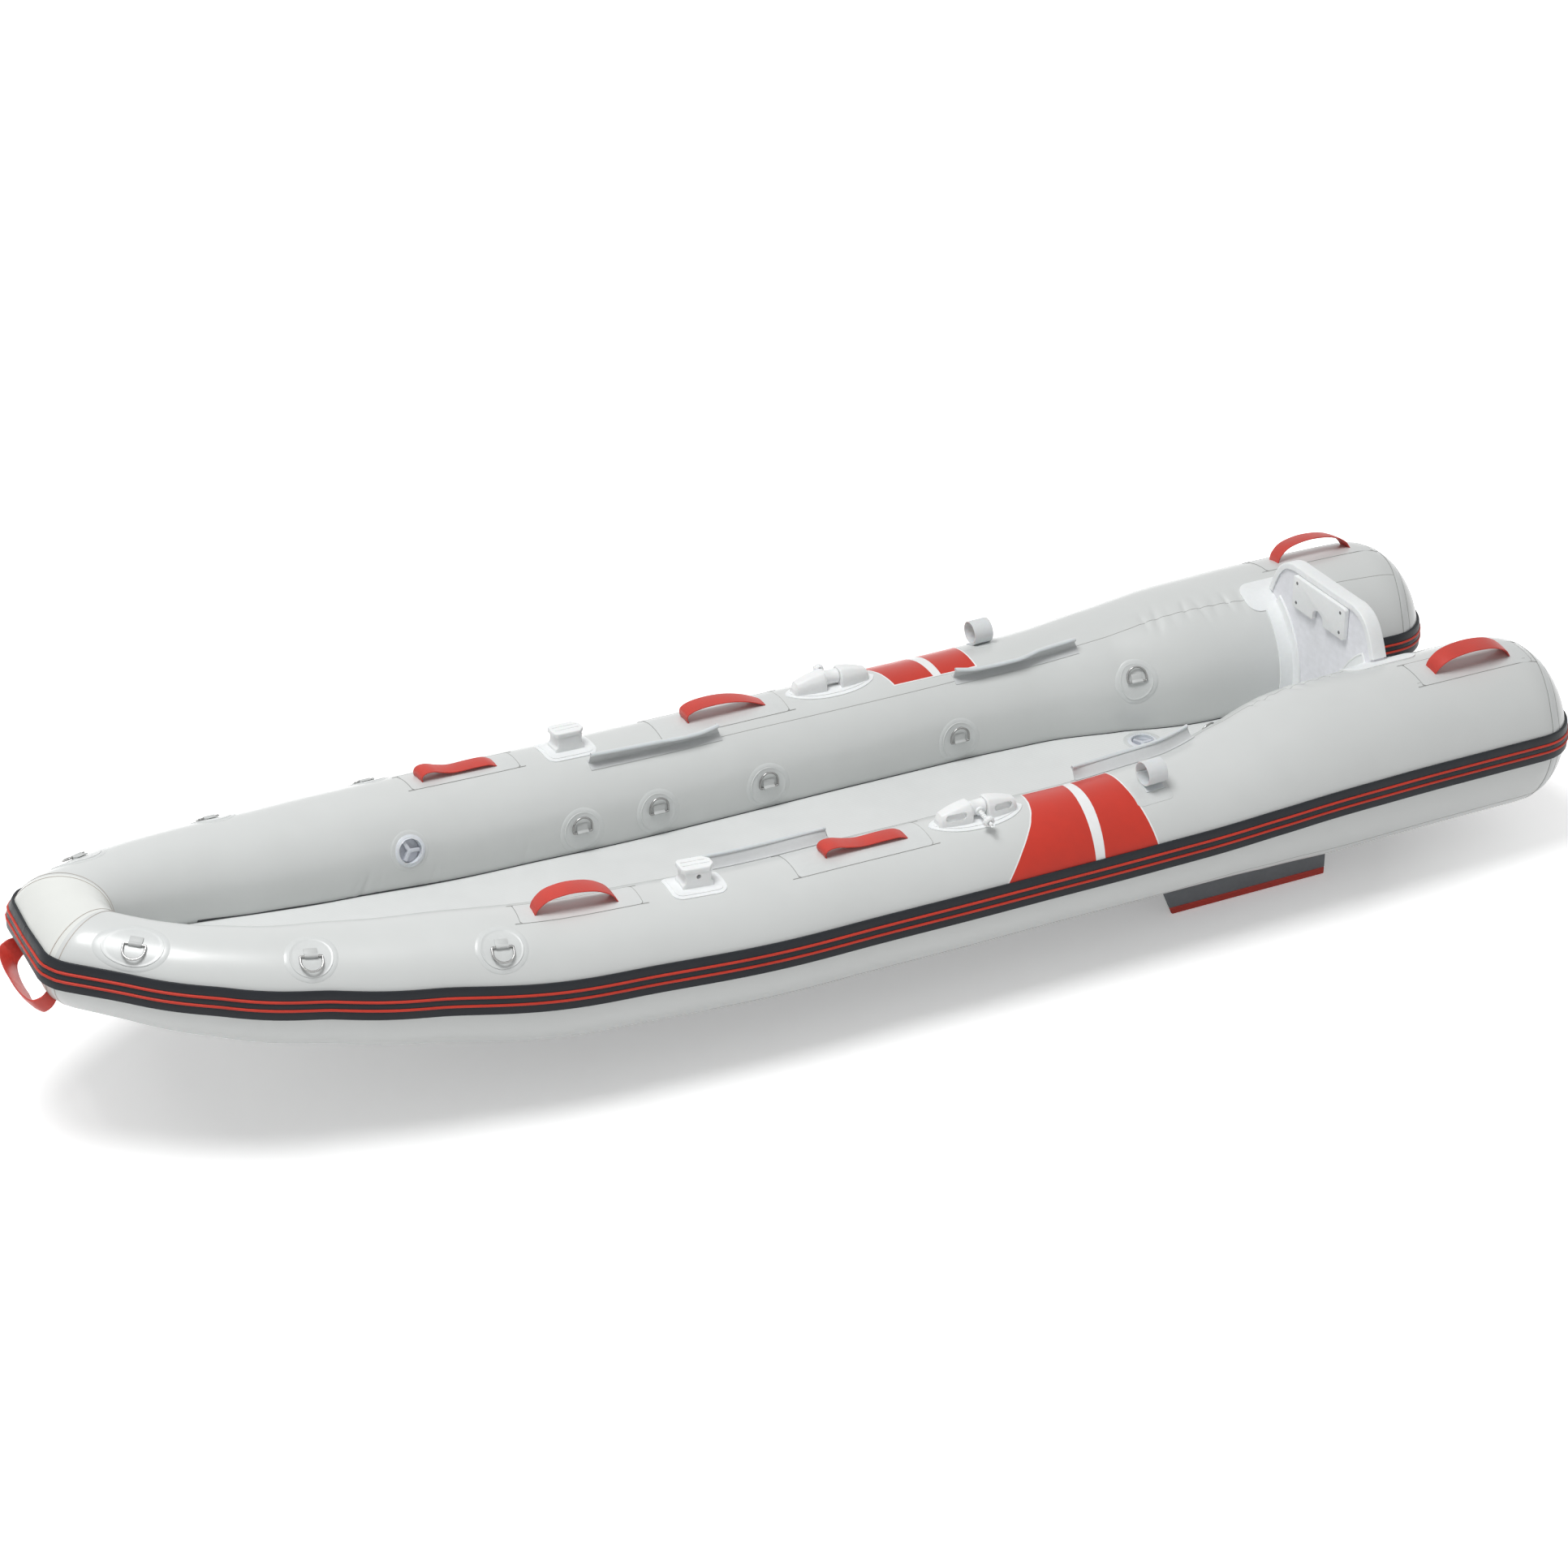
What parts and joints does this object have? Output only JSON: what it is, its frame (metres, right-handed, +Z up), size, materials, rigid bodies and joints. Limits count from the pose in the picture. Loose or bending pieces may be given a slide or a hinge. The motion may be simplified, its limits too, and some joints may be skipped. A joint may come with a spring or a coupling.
{
  "type": "inflatable boat",
  "caption": "Grey inflatable boat with a black rubbing strake, air deck, transom and under-tube fins, red strap handles, steel rings, oarlocks, oar clips, grab rails and turning valve caps",
  "frame": {"origin": "centre of the bounding box, level with the lower edges of the fins", "axes": "+X aft (bow is -X), +Y starboard, +Z up"},
  "size_m": [3.4452, 0.9606, 0.5473],
  "materials": {
    "pvc_grey": "glossy coated fabric",
    "pvc_white": "glossy coated fabric",
    "deck_grey": "textured coated fabric",
    "moulded_white": "smooth moulded",
    "strake_black": "extruded, with two red lines",
    "strap_red": "coated webbing",
    "board_grey": "painted board",
    "fin_grey": "moulded, red lower edge",
    "stainless_steel": "polished wire",
    "valve_grey": "smooth moulded"
  },
  "bodies": {
    "hull": {"accessory_block_port": "moulded_white", "accessory_block_starboard": "moulded_white", "air_deck": "deck_grey", "bow_tow_handle": "strap_red", "bow_tube": "pvc_white", "fin_port": "fin_grey", "fin_starboard": "fin_grey", "handle_front_port": "strap_red", "handle_front_starboard": "strap_red", "handle_middle_port": "strap_red", "handle_middle_starboard": "strap_red", "handle_stern_port": "strap_red", "handle_stern_starboard": "strap_red", "hull_skin": "pvc_grey", "motor_pad_inner": "moulded_white", "motor_pad_outer": "moulded_white", "oar_clip_port": "pvc_white", "oar_clip_starboard": "pvc_white", "oarlock_base_port": "moulded_white", "oarlock_base_starboard": "moulded_white", "port_tube": "pvc_grey", "rail_aft_port": "pvc_grey", "rail_aft_starboard": "pvc_grey", "rail_front_port": "pvc_grey", "rail_front_starboard": "pvc_grey", "starboard_tube": "pvc_grey", "strake_port": "strake_black", "strake_starboard": "strake_black", "transom_board": "board_grey", "transom_edge_cap": "moulded_white", "transom_holder_port": "moulded_white", "transom_holder_starboard": "moulded_white", "valve_body_deck": "valve_grey", "valve_body_port": "valve_grey", "valve_body_starboard": "valve_grey"},
    "oarlock_swivel_port": {"oarlock_barrel_port": "moulded_white", "oarlock_stud_port": "moulded_white"},
    "oarlock_lock_nut_port": {"oarlock_nut_port": "moulded_white"},
    "oarlock_swivel_starboard": {"oarlock_barrel_starboard": "moulded_white", "oarlock_stud_starboard": "moulded_white"},
    "oarlock_lock_nut_starboard": {"oarlock_nut_starboard": "moulded_white"},
    "starboard_ring_outer_front_body": {"starboard_ring_outer_front": "stainless_steel"},
    "starboard_ring_outer_middle_body": {"starboard_ring_outer_middle": "stainless_steel"},
    "starboard_ring_outer_aft_body": {"starboard_ring_outer_aft": "stainless_steel"},
    "starboard_ring_inner_1_body": {"starboard_ring_inner_1": "stainless_steel"},
    "starboard_ring_inner_2_body": {"starboard_ring_inner_2": "stainless_steel"},
    "starboard_ring_inner_3_body": {"starboard_ring_inner_3": "stainless_steel"},
    "starboard_ring_inner_4_body": {"starboard_ring_inner_4": "stainless_steel"},
    "starboard_ring_inner_5_body": {"starboard_ring_inner_5": "stainless_steel"},
    "port_ring_outer_front_body": {"port_ring_outer_front": "stainless_steel"},
    "port_ring_outer_middle_body": {"port_ring_outer_middle": "stainless_steel"},
    "port_ring_outer_aft_body": {"port_ring_outer_aft": "stainless_steel"},
    "port_ring_inner_1_body": {"port_ring_inner_1": "stainless_steel"},
    "port_ring_inner_2_body": {"port_ring_inner_2": "stainless_steel"},
    "port_ring_inner_3_body": {"port_ring_inner_3": "stainless_steel"},
    "port_ring_inner_4_body": {"port_ring_inner_4": "stainless_steel"},
    "port_ring_inner_5_body": {"port_ring_inner_5": "stainless_steel"},
    "valve_cap_starboard_body": {"valve_cap_starboard": "valve_grey"},
    "valve_cap_port_body": {"valve_cap_port": "valve_grey"},
    "valve_cap_deck_body": {"valve_cap_deck": "valve_grey"}
  },
  "joints": [
    {"name": "oarlock_swing_port", "type": "hinge", "parent": "hull", "child": "oarlock_swivel_port", "pos_m": [0.23203, -0.33176, 0.41192], "axis": [-1, 0.002, 0.0005], "range_deg": [-10, 200]},
    {"name": "oarlock_nut_spin_port", "type": "hinge", "parent": "oarlock_swivel_port", "child": "oarlock_lock_nut_port", "pos_m": [0.23191, -0.38685, 0.40516], "axis": [-0.0021, -0.9925, -0.1219], "continuous": true},
    {"name": "oarlock_swing_starboard", "type": "hinge", "parent": "hull", "child": "oarlock_swivel_starboard", "pos_m": [0.23203, 0.33176, 0.41192], "axis": [1, 0.002, -0.0005], "range_deg": [-10, 200]},
    {"name": "oarlock_nut_spin_starboard", "type": "hinge", "parent": "oarlock_swivel_starboard", "child": "oarlock_lock_nut_starboard", "pos_m": [0.23191, 0.38685, 0.40516], "axis": [-0.0021, 0.9925, -0.1219], "continuous": true},
    {"name": "starboard_ring_outer_front_swing", "type": "hinge", "parent": "hull", "child": "starboard_ring_outer_front_body", "pos_m": [-1.51762, 0.18948, 0.48196], "axis": [0.8463, 0.5155, -0.1346], "range_deg": [0, 165]},
    {"name": "starboard_ring_outer_middle_swing", "type": "hinge", "parent": "hull", "child": "starboard_ring_outer_middle_body", "pos_m": [-1.20857, 0.3049, 0.4334], "axis": [0.9786, 0.1788, -0.1016], "range_deg": [0, 165]},
    {"name": "starboard_ring_outer_aft_swing", "type": "hinge", "parent": "hull", "child": "starboard_ring_outer_aft_body", "pos_m": [-0.84496, 0.37774, 0.39381], "axis": [0.9869, 0.1392, -0.0822], "range_deg": [0, 165]},
    {"name": "starboard_ring_inner_1_swing", "type": "hinge", "parent": "hull", "child": "starboard_ring_inner_1_body", "pos_m": [-0.43509, 0.17742, 0.26533], "axis": [0.9986, 0.034, -0.0394], "range_deg": [0, 140]},
    {"name": "starboard_ring_inner_2_swing", "type": "hinge", "parent": "hull", "child": "starboard_ring_inner_2_body", "pos_m": [-0.25313, 0.18397, 0.26322], "axis": [0.9987, 0.034, -0.0392], "range_deg": [0, 140]},
    {"name": "starboard_ring_inner_3_swing", "type": "hinge", "parent": "hull", "child": "starboard_ring_inner_3_body", "pos_m": [0.01042, 0.18596, 0.26014], "axis": [1, 0.007, -0.0001], "range_deg": [0, 140]},
    {"name": "starboard_ring_inner_4_swing", "type": "hinge", "parent": "hull", "child": "starboard_ring_inner_4_body", "pos_m": [0.48378, 0.18508, 0.25786], "axis": [0.9995, -0.0312, 0.0045], "range_deg": [0, 140]},
    {"name": "starboard_ring_inner_5_swing", "type": "hinge", "parent": "hull", "child": "starboard_ring_inner_5_body", "pos_m": [0.9142, 0.14128, 0.32873], "axis": [0.9627, -0.2545, 0.0917], "range_deg": [0, 140]},
    {"name": "port_ring_outer_front_swing", "type": "hinge", "parent": "hull", "child": "port_ring_outer_front_body", "pos_m": [-1.51762, -0.18948, 0.48196], "axis": [-0.8463, 0.5155, 0.1346], "range_deg": [0, 165]},
    {"name": "port_ring_outer_middle_swing", "type": "hinge", "parent": "hull", "child": "port_ring_outer_middle_body", "pos_m": [-1.20857, -0.3049, 0.4334], "axis": [-0.9786, 0.1788, 0.1016], "range_deg": [0, 165]},
    {"name": "port_ring_outer_aft_swing", "type": "hinge", "parent": "hull", "child": "port_ring_outer_aft_body", "pos_m": [-0.84496, -0.37774, 0.39381], "axis": [-0.9869, 0.1392, 0.0822], "range_deg": [0, 165]},
    {"name": "port_ring_inner_1_swing", "type": "hinge", "parent": "hull", "child": "port_ring_inner_1_body", "pos_m": [-0.43509, -0.17742, 0.26533], "axis": [-0.9986, 0.034, 0.0394], "range_deg": [0, 140]},
    {"name": "port_ring_inner_2_swing", "type": "hinge", "parent": "hull", "child": "port_ring_inner_2_body", "pos_m": [-0.25313, -0.18397, 0.26322], "axis": [-0.9987, 0.034, 0.0392], "range_deg": [0, 140]},
    {"name": "port_ring_inner_3_swing", "type": "hinge", "parent": "hull", "child": "port_ring_inner_3_body", "pos_m": [0.01042, -0.18596, 0.26014], "axis": [-1, 0.007, 0.0001], "range_deg": [0, 140]},
    {"name": "port_ring_inner_4_swing", "type": "hinge", "parent": "hull", "child": "port_ring_inner_4_body", "pos_m": [0.48378, -0.18508, 0.25786], "axis": [-0.9995, -0.0312, -0.0045], "range_deg": [0, 140]},
    {"name": "port_ring_inner_5_swing", "type": "hinge", "parent": "hull", "child": "port_ring_inner_5_body", "pos_m": [0.9142, -0.14128, 0.32873], "axis": [-0.9627, -0.2545, -0.0917], "range_deg": [0, 140]},
    {"name": "valve_cap_turn_starboard", "type": "hinge", "parent": "hull", "child": "valve_cap_starboard_body", "pos_m": [-0.82847, 0.16618, 0.32647], "axis": [0.12, -0.9429, 0.3108], "range_deg": [0, 90]},
    {"name": "valve_cap_turn_port", "type": "hinge", "parent": "hull", "child": "valve_cap_port_body", "pos_m": [-0.82847, -0.16618, 0.32647], "axis": [0.12, 0.9429, 0.3108], "range_deg": [0, 90]},
    {"name": "valve_cap_turn_deck", "type": "hinge", "parent": "hull", "child": "valve_cap_deck_body", "pos_m": [0.89912, 0.085, 0.208], "axis": [0, 0, 1], "range_deg": [0, 90]}
  ]
}
